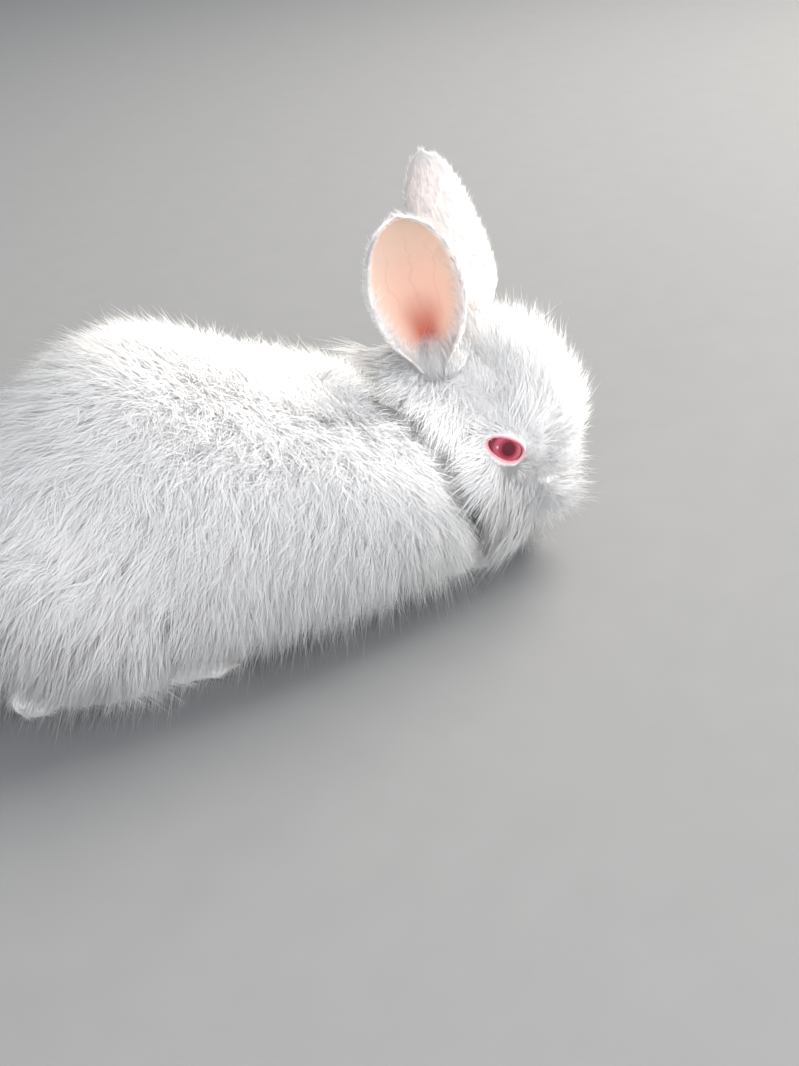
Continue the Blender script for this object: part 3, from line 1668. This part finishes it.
class Link:
    """A number or a colour on its way through a shader, with the usual operators for numbers."""

    def __init__(self, graph: "Graph", socket: bpy.types.NodeSocket) -> None:
        """Wraps a socket of this graph."""
        self.graph = graph
        self.socket = socket

    def maths(self, operation: str, *values: object) -> "Link":
        """One Math node on these values."""
        return self.graph.add("ShaderNodeMath", {"operation": operation}, dict(enumerate(values)))

    def __add__(self, other: object) -> "Link":
        """This plus a number."""
        return self.maths("ADD", self, other)

    def __radd__(self, other: object) -> "Link":
        """A number plus this."""
        return self.maths("ADD", other, self)

    def __sub__(self, other: object) -> "Link":
        """This less a number."""
        return self.maths("SUBTRACT", self, other)

    def __rsub__(self, other: object) -> "Link":
        """A number less this."""
        return self.maths("SUBTRACT", other, self)

    def __mul__(self, other: object) -> "Link":
        """This times a number."""
        return self.maths("MULTIPLY", self, other)

    def __rmul__(self, other: object) -> "Link":
        """A number times this."""
        return self.maths("MULTIPLY", other, self)

    def __pow__(self, other: object) -> "Link":
        """This to a power."""
        return self.maths("POWER", self, other)

    def __abs__(self) -> "Link":
        """This without its sign."""
        return self.maths("ABSOLUTE", self)

    def ramp(self, low: float, high: float) -> "Link":
        """0 below low, 1 above high and a soft ramp between."""
        settings = {"clamp": True, "interpolation_type": "SMOOTHSTEP"}
        inputs = {"Value": self, "From Min": low, "From Max": high}
        return self.graph.add("ShaderNodeMapRange", settings, inputs)


class Graph:
    """The nodes of one material."""

    def __init__(self, name: str) -> None:
        """Starts an empty material of this name."""
        self.material = bpy.data.materials.new(name)
        self.material.use_nodes = True
        self.tree = self.material.node_tree
        self.tree.nodes.clear()

    def node(self, kind: str, settings: dict, inputs: dict) -> bpy.types.Node:
        """Adds a node.

        Args:
            kind: Its type.
            settings: Its own settings, set first.
            inputs: Values or links by socket name or number.

        Returns:
            The node.
        """
        node = self.tree.nodes.new(kind)
        for name, value in settings.items():
            setattr(node, name, value)
        for name, value in inputs.items():
            if isinstance(value, Link):
                self.tree.links.new(value.socket, node.inputs[name])
            elif isinstance(value, tuple) and len(value) == 3 and len(node.inputs[name].default_value) == 4:
                node.inputs[name].default_value = (*value, 1)
            else:
                node.inputs[name].default_value = value
        return node

    def add(self, kind: str, settings: dict, inputs: dict, output: object = 0) -> Link:
        """Adds a node and gives one of its outputs."""
        return Link(self, self.node(kind, settings, inputs).outputs[output])

    def attribute(self, name: str) -> Link:
        """A number that is stored on the piece's points."""
        return self.add("ShaderNodeAttribute", {"attribute_name": name}, {}, "Fac")

    def spots(self) -> Link:
        """The place in the piece's own frame."""
        return self.add("ShaderNodeTexCoord", {}, {}, "Object")

    def noise(self, where: Link, scale: float, detail: float = 2.0, roughness: float = 0.5) -> Link:
        """Soft noise of this scale."""
        inputs = {"Vector": where, "Scale": scale, "Detail": detail, "Roughness": roughness}
        return self.add("ShaderNodeTexNoise", {}, inputs, "Fac")

    def mix(self, share: object, first: object, second: object) -> Link:
        """A colour between two."""
        return self.add("ShaderNodeMix", {"data_type": "RGBA"}, {0: share, 6: first, 7: second}, 2)

    def surface(
        self, colour: Link, roughness: float, glow: object = 0.0, **more: object
    ) -> bpy.types.Material:
        """Finishes the material.

        Args:
            colour: Its colour.
            roughness: Its roughness.
            glow: The share of light that it lets through, if any.
            more: Other sockets of its shader, with spaces in their names as underscores.

        Returns:
            The material.
        """
        inputs = {"Base Color": colour, "Roughness": roughness}
        inputs.update({name.replace("_", " "): value for name, value in more.items()})
        shader = self.add("ShaderNodeBsdfPrincipled", {}, inputs)
        if glow:
            through = self.add("ShaderNodeBsdfTranslucent", {}, {"Color": colour})
            shader = self.add("ShaderNodeMixShader", {}, {0: glow, 1: shader, 2: through})
        self.node("ShaderNodeOutputMaterial", {}, {"Surface": shader})
        return self.material


@dataclass(frozen=True)
class CoatFinish:
    """Soft white hair that lets some light through."""

    name: str = "coat"
    tip: Triple = (0.97, 0.965, 0.955)
    root: Triple = (0.93, 0.91, 0.90)
    dull: Triple = (0.91, 0.905, 0.91)
    dulled: float = 0.3
    roughness: float = 0.65
    specular: float = 0.25
    see_through: float = 0.06

    def material(self) -> bpy.types.Material:
        """The hair's material, paler towards the tips and a little different from strand to strand."""
        graph = Graph(self.name)
        along = graph.attribute("along")
        shade = graph.attribute("shade")
        colour = graph.mix(along.ramp(0.0, 0.7), self.root, self.tip)
        colour = graph.mix(shade.ramp(0.45, 1.0) * self.dulled, colour, self.dull)
        return graph.surface(colour, self.roughness, self.see_through, Specular_IOR_Level=self.specular)


@dataclass(frozen=True)
class SkinFinish:
    """Skin under short white down, with bare pink in the ears and round the eyes, nose and mouth."""

    name: str = "skin"
    down: Triple = (0.93, 0.90, 0.885)
    mottled: Triple = (0.90, 0.86, 0.84)
    bare: Triple = (0.76, 0.36, 0.38)
    rim: Triple = (0.62, 0.16, 0.21)
    ear_pale: Triple = (0.88, 0.66, 0.54)
    ear_rim: Triple = (0.95, 0.89, 0.86)
    ear_inside: Triple = (0.91, 0.62, 0.50)
    ear_canal: Triple = (0.62, 0.15, 0.10)
    vein: Triple = (0.62, 0.30, 0.24)
    ear_back: Triple = (0.93, 0.87, 0.85)
    vein_strength: float = 0.17
    see_through: float = 0.22
    roughness: float = 0.55
    specular: float = 0.3
    grain: float = 1800
    grain_depth: float = 0.0004

    def material(self) -> bpy.types.Material:
        """The skin's material.

        Returns:
            The material.
        """
        graph = Graph(self.name)
        where = graph.spots()
        inner, along, across = (graph.attribute(name) for name in ("inner", "along", "across"))
        ear, flush = graph.attribute("ear"), graph.attribute("flush")
        mottle = graph.noise(where, 260, 3)
        base = graph.mix(mottle, self.down, self.mottled)
        pink = graph.mix(graph.noise(where, 900, 2), self.bare, self.rim)
        base = graph.mix(flush, base, pink)
        blush = (1 - along.ramp(0.25, 0.85)) * (1 - abs(across).ramp(0.30, 1.0))
        blush = (blush + (graph.noise(where, 120, 2) - 0.5) * 0.35).ramp(0.0, 0.75)
        inside = graph.mix(blush, self.ear_pale, self.ear_inside)
        inside = graph.mix(self.canal(along, across), inside, self.ear_canal)
        veins = self.veins(graph, where, along, across)
        inside = graph.mix(veins * self.vein_strength, inside, self.vein)
        inside = graph.mix(abs(across).ramp(0.80, 0.97), inside, self.ear_rim)
        ears = graph.mix(inner, self.ear_back, inside)
        base = graph.mix(ear, base, ears)
        height = {"Height": graph.noise(where, self.grain, 3), "Strength": 0.35, "Distance": self.grain_depth}
        bump = graph.add("ShaderNodeBump", {}, height, "Normal")
        glow = ear * self.see_through
        return graph.surface(base, self.roughness, glow, Specular_IOR_Level=self.specular, Normal=bump)

    def canal(self, along: Link, across: Link) -> Link:
        """How deep in the red of the ear's canal a point is."""
        return (1 - along.ramp(0.08, 0.46)) * (1 - abs(across).ramp(0.15, 0.75))

    def veins(self, graph: Graph, where: Link, along: Link, across: Link) -> Link:
        """A few thin veins that run up the ear and fade towards its tip.

        Args:
            graph: The material's nodes.
            where: The place in the skin's own frame.
            along: How far along the ear a point is.
            across: How far across it.

        Returns:
            1 in a vein and 0 beside it.
        """
        drift = (graph.noise(where, 55, 3, 0.6) - 0.5) * 1.5
        fans = across * (1.6 - along * 0.5) + drift
        found = None
        for middle, wide in ((0.0, 0.0672), (0.62, 0.048), (-0.68, 0.048), (1.1, 0.0336)):
            line = 1 - abs(fans - middle).ramp(0.0, wide)
            found = line if found is None else found.maths("MAXIMUM", found, line)
        return found * along.ramp(0.12, 0.3) * (1 - along.ramp(0.6, 0.92))


@dataclass(frozen=True)
class EyeFinish:
    """A ruby eye under a clear glossy surface, patterned round the axis of its own ball."""

    name: str
    centre: Vector
    facing: Quaternion
    radius: float
    pupil: Triple = (0.08, 0.004, 0.012)
    iris: Triple = (0.25, 0.018, 0.040)
    bright: Triple = (0.42, 0.080, 0.125)
    edge: Triple = (0.14, 0.008, 0.020)
    roughness: float = 0.2
    specular: float = 0.2
    gloss: float = 0.8
    gloss_roughness: float = 0.015

    def material(self) -> bpy.types.Material:
        """The eye's material.

        Returns:
            The material.
        """
        graph = Graph(self.name)
        turn = self.facing.inverted()
        shift = -(turn @ self.centre)
        where = graph.add(
            "ShaderNodeMapping",
            {},
            {"Vector": graph.spots(), "Location": tuple(shift), "Rotation": tuple(turn.to_euler())},
            "Vector",
        )
        parts = graph.node("ShaderNodeSeparateXYZ", {}, {"Vector": where})
        x, y = Link(graph, parts.outputs[0]), Link(graph, parts.outputs[1])
        out = (x * x + y * y) ** 0.5 * (1 / self.radius)
        rays = graph.noise(where, 2200, 3, 0.7)
        wavy = out + (rays - 0.5) * 0.10
        colour = graph.mix(wavy.ramp(0.28, 0.34), self.pupil, self.iris)
        colour = graph.mix(wavy.ramp(0.36, 0.50) * (0.45 + rays * 0.8), colour, self.bright)
        colour = graph.mix(wavy.ramp(0.56, 0.70), colour, self.edge)
        gloss = {"Coat_Weight": self.gloss, "Coat_Roughness": self.gloss_roughness}
        return graph.surface(colour, self.roughness, Specular_IOR_Level=self.specular, **gloss)


@dataclass(frozen=True)
class ClawFinish:
    """Pale horn."""

    name: str = "claw"
    pale: Triple = (0.78, 0.66, 0.58)
    dark: Triple = (0.66, 0.50, 0.44)
    roughness: float = 0.35

    def material(self) -> bpy.types.Material:
        """The claws' material."""
        graph = Graph(self.name)
        return graph.surface(graph.mix(graph.noise(graph.spots(), 700), self.pale, self.dark), self.roughness)


@dataclass(frozen=True)
class FloorFinish:
    """A plain matt grey."""

    name: str = "floor"
    pale: Triple = (0.165, 0.168, 0.171)
    dark: Triple = (0.178, 0.181, 0.184)
    roughness: float = 0.8

    def material(self) -> bpy.types.Material:
        """The floor's material."""
        graph = Graph(self.name)
        return graph.surface(graph.mix(graph.noise(graph.spots(), 60), self.pale, self.dark), self.roughness)


@dataclass(frozen=True)
class Lamp:
    """A square soft lamp that faces the rabbit, and shows in its eyes if it shines."""

    at: Triple
    size: float
    power: float
    colour: Triple
    shines: bool = False

    def build(self, aim: Triple) -> bpy.types.Object:
        """Sets the lamp up.

        Args:
            aim: The point that it faces.

        Returns:
            The lamp.
        """
        deselect_all()
        bpy.ops.object.light_add(type="AREA", location=self.at)
        lamp = bpy.context.object
        lamp.rotation_euler = (Vector(aim) - Vector(self.at)).to_track_quat("-Z", "Y").to_euler()
        lamp.data.size = self.size
        lamp.data.energy = self.power
        lamp.data.color = self.colour
        lamp.visible_glossy = self.shines
        return lamp


@dataclass
class Studio:
    """A pale floor, soft lamps and the camera at the photo's place."""

    stand: Vector
    body_at: tuple[float, float] = (-0.062, -0.027)
    turn: float = math.radians(18.2)
    fall: float = math.radians(34)
    roll: float = math.radians(6)
    distance: float = 0.397
    aim_height: float = 0.007
    sensor: float = 36
    lens: float = 36 * 1150 / 1066
    lamp_aim: Triple = (0.02, 0, 0.05)
    lamps: tuple[Lamp, ...] = (
        Lamp((0.95, 0.32, 1.05), 0.9, 52, (1.0, 0.94, 0.86)),
        Lamp((0.1, -1.3, 0.9), 1.4, 20, (0.93, 0.955, 1.0)),
        Lamp((1.0, -0.62, 0.36), 0.7, 8.5, (1.0, 0.98, 0.95)),
        Lamp((-0.75, -0.80, 0.44), 0.22, 2.2, (1.0, 0.98, 0.95), True),
    )
    air: Triple = (0.88, 0.93, 1.0)
    air_strength: float = 0.68
    bounces: int = 8

    def camera(self) -> bpy.types.Object:
        """The camera, looking down on the rabbit's right side.

        Returns:
            The camera.
        """
        forward = Vector((0, math.cos(self.fall), -math.sin(self.fall)))
        right = Vector((1, 0, 0))
        up = right.cross(forward)
        right, up = (
            right * math.cos(self.roll) - up * math.sin(self.roll),
            right * math.sin(self.roll) + up * math.cos(self.roll),
        )
        turn = Matrix.Rotation(-self.turn, 3, "Z")
        at = Vector((0, 0, self.aim_height)) - forward * self.distance - Vector((*self.body_at, 0))
        matrix = Matrix((turn @ right, turn @ up, turn @ -forward)).transposed().to_4x4()
        matrix.translation = turn @ at + self.stand
        deselect_all()
        bpy.ops.object.camera_add()
        camera = bpy.context.object
        camera.matrix_world = matrix
        camera.data.sensor_width = self.sensor
        camera.data.lens = self.lens
        camera.data.clip_start = 0.01
        bpy.context.scene.camera = camera
        return camera

    def floor(self) -> Piece:
        """A wide pale floor."""
        deselect_all()
        bpy.ops.mesh.primitive_plane_add(size=6)
        floor = bpy.context.object
        floor.name = "floor"
        floor.data.materials.append(FloorFinish().material())
        return floor

    def build(self) -> None:
        """Sets everything up."""
        self.camera()
        self.floor()
        for lamp in self.lamps:
            lamp.build(self.lamp_aim)
        world = bpy.data.worlds.new("studio")
        world.use_nodes = True
        background = world.node_tree.nodes["Background"].inputs
        background["Color"].default_value = (*self.air, 1)
        background["Strength"].default_value = self.air_strength
        scene = bpy.context.scene
        scene.world = world
        scene.view_settings.view_transform = "Standard"
        scene.cycles.diffuse_bounces = self.bounces


FLESH = (
    "head", "neck", "torso", "tail", "haunch_left", "haunch_right", "hind_foot_left", "hind_foot_right",
    "foreleg_left", "foreleg_right", "ear_left", "ear_right",
)


@dataclass
class Rabbit:
    """The whole rabbit, built in order."""

    head: Head = field(default_factory=Head)
    trunk: Trunk = field(default_factory=Trunk)
    limbs: Limbs = field(default_factory=Limbs)

    def __post_init__(self) -> None:
        """Finds how far the solids were moved to stand on the origin."""
        self.eyes = (Eye(1), Eye(-1))
        self.ears = (
            Ear(Part.EAR_RIGHT, (-0.0235, -0.0125, 0.0150), (-0.255, -0.300, 1.0), (-0.30, -0.94, 0.10)),
            Ear(Part.EAR_LEFT, (-0.0185, 0.0125, 0.0180), (-0.180, 0.165, 1.0), (0.88, 0.47, 0.10)),
        )
        low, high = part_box("eye_right")
        formula = self.head.matrix(Vector()) @ self.eyes[1].centre()
        self.stand = (low + high) / 2 - formula
        self.stand.z = 0

    def tips(self) -> tuple[Surface, LabelledForms]:
        """One closed surface over the tips of the coat.

        Returns:
            The surface, with softened normals, and the forms that it is made of.
        """
        forms = [(Part.TRUNK, self.trunk.build(1, self.stand)), (Part.TAIL, self.limbs.tail(1, self.stand))]
        forms += [(Part.HAUNCH, self.limbs.haunch(side, 1, self.stand)) for side in (1, -1)]
        forms += [(Part.HEAD, self.head.build(1, self.stand))]
        labels = LabelledForms.of(forms)
        piece = joined("tips", [form for _, form in forms])
        with_modifier(piece, "REMESH", mode="VOXEL", voxel_size=0.002)
        smoothed(piece, 6)
        for _ in range(4):
            filled(piece, 60)
        surface = Surface(outward(piece))
        surface.normals = Surface(smoothed(piece, 60)).normals
        bpy.data.objects.remove(piece)
        return surface, labels

    def build(self) -> None:
        """Builds and dresses each piece and lets it ride on the body."""
        skin_maker = Skin(self.trunk, self.head, self.limbs, self.eyes, self.ears, self.stand)
        skin = skin_maker.build()
        skin.data.materials.clear()
        skin.data.materials.append(SkinFinish().material())
        self.place(skin, "ear_skin", *FLESH)
        for eye in self.eyes:
            self.dress_eye(eye)
        claws = self.limbs.claws(self.stand)
        claws.data.materials.append(ClawFinish().material())
        self.place(claws, "ear_skin")
        ground = Surface(skin)
        tips, labels = self.tips()
        self.grow(Coat(skin_maker, ground, tips), labels)

    def dress_eye(self, eye: Eye) -> None:
        """Builds one eye.

        Args:
            eye: The eye.
        """
        head = self.head.matrix(self.stand)
        piece = eye.build(head)
        out, _, upright = eye.axes()
        facing = (head.to_3x3() @ (out + upright * 0.06)).to_track_quat("Z", "Y")
        finish = EyeFinish(eye.name, head @ eye.centre(), facing, eye.radius)
        piece.data.materials.append(finish.material())
        self.place(piece, "eye", eye.name)

    def grow(self, coat: Coat, labels: LabelledForms) -> None:
        """Grows the coat, part by part: the long coat from its tips, the short fur from the skin.

        Args:
            coat: The coat, still bare.
            labels: The forms at the tips, which tell what part each tip is on.
        """
        centres = coat.ground.corners.mean(1)
        face_normals = unit(coat.ground.normals.mean(1))
        depths = np.array([coat.depth(Vector(at), Vector(out)) for at, out in zip(centres, face_normals)])
        face = np.array([part is Part.HEAD for part in coat.parts]) * (depths <= 0.0040)
        feet = np.array([part is Part.FOOT for part in coat.parts], float)
        tip_centres = coat.tips.corners.mean(1)
        blur = np.random.default_rng(7).normal(0, 0.0065, tip_centres.shape)
        tip_parts = [labels.part_at(centre) for centre in tip_centres + blur]
        room = coat.under(tip_centres)[3][:, 0]
        share = (room > 0.0014) * np.clip(room / 0.012, 0.7, 2.2)
        of = {part: np.array([label is part for label in tip_parts]) * share for part in Part}
        deep = smooth_step(0.013, 0.019, room) * (tip_centres[:, 2] > 0.008)
        head = TuftStyle(6600, width=0.00016, run=0.75, least_run=0.005, spread=0.0016, wisps=0.2, under=0.3)
        head_under = TuftStyle(5600, 5, 0.00017, rings=1, run=0.6, least_run=0.005, spread=0.0016, under=0.7)
        short = TuftStyle(
            9000, 4, 0.00013, 1, spread=0.0008, run=0.9, least_run=0.0028, least_rise=0.0012,
            frizz=0.0008, deepest=0.0045,
        )
        foot = TuftStyle(2600, 4, 0.00017, 1, spread=0.0009, least_run=0.0042, least_rise=0.0022)
        styles = (
            ("coat_body", Part.TRUNK, TuftStyle(11500, wisps=0.22), of[Part.TRUNK]),
            ("coat_body_under", Part.TRUNK, TuftStyle(7600, 5, rings=1, under=0.7), of[Part.TRUNK]),
            ("coat_fill", Part.TRUNK, TuftStyle(3000, 5, 0.0003, 1, run=0.4, under=0.35), deep),
            ("coat_haunches", Part.HAUNCH, TuftStyle(2200, wisps=0.22), of[Part.HAUNCH]),
            ("coat_haunches_under", Part.HAUNCH, TuftStyle(1600, 5, rings=1, under=0.7), of[Part.HAUNCH]),
            ("coat_tail", Part.TAIL, TuftStyle(900, wisps=0.2), of[Part.TAIL]),
            ("coat_head", Part.HEAD, head, of[Part.HEAD]),
            ("coat_head_under", Part.HEAD, head_under, of[Part.HEAD]),
            ("coat_face", Part.HEAD, short, face),
            ("coat_feet", Part.FOOT, foot, feet),
        )
        finish = CoatFinish().material()
        pieces = []
        for seed, (name, part, style, weight) in enumerate(styles):
            pieces += coat.grow(name, part, style, weight, seed)
        for seed, ear in enumerate(self.ears):
            style = TuftStyle(3600, 3, 0.00012, 1, spread=0.0003, frizz=0.0005, softness=0.9)
            pieces += coat.ear_fur(ear, style, 90 + seed)
            pieces += coat.collar(ear, TuftStyle(800, 4, 0.00015, spread=0.0012), 80 + seed)
        pieces += coat.whiskers(95)
        for piece in pieces:
            piece.data.materials.append(finish)
            self.place(piece, "coat")

    def place(self, piece: Piece, slot: str, *nodes: str) -> None:
        """Lets a piece ride on the body, and notes its finish and what it stands for.

        Args:
            piece: The piece.
            slot: The material slot that it takes its finish from.
            nodes: The solids that it stands for.
        """
        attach(piece, "root")
        if nodes:
            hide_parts(*nodes)
        LOG.info("%s: %d faces", piece.name, len(piece.data.polygons))


def main() -> None:
    """Builds the rabbit and the studio round it."""
    logging.basicConfig(level=logging.INFO, format="%(message)s")
    rabbit = Rabbit()
    Studio(rabbit.stand).build()
    rabbit.build()


if __name__ == "__main__":
    main()
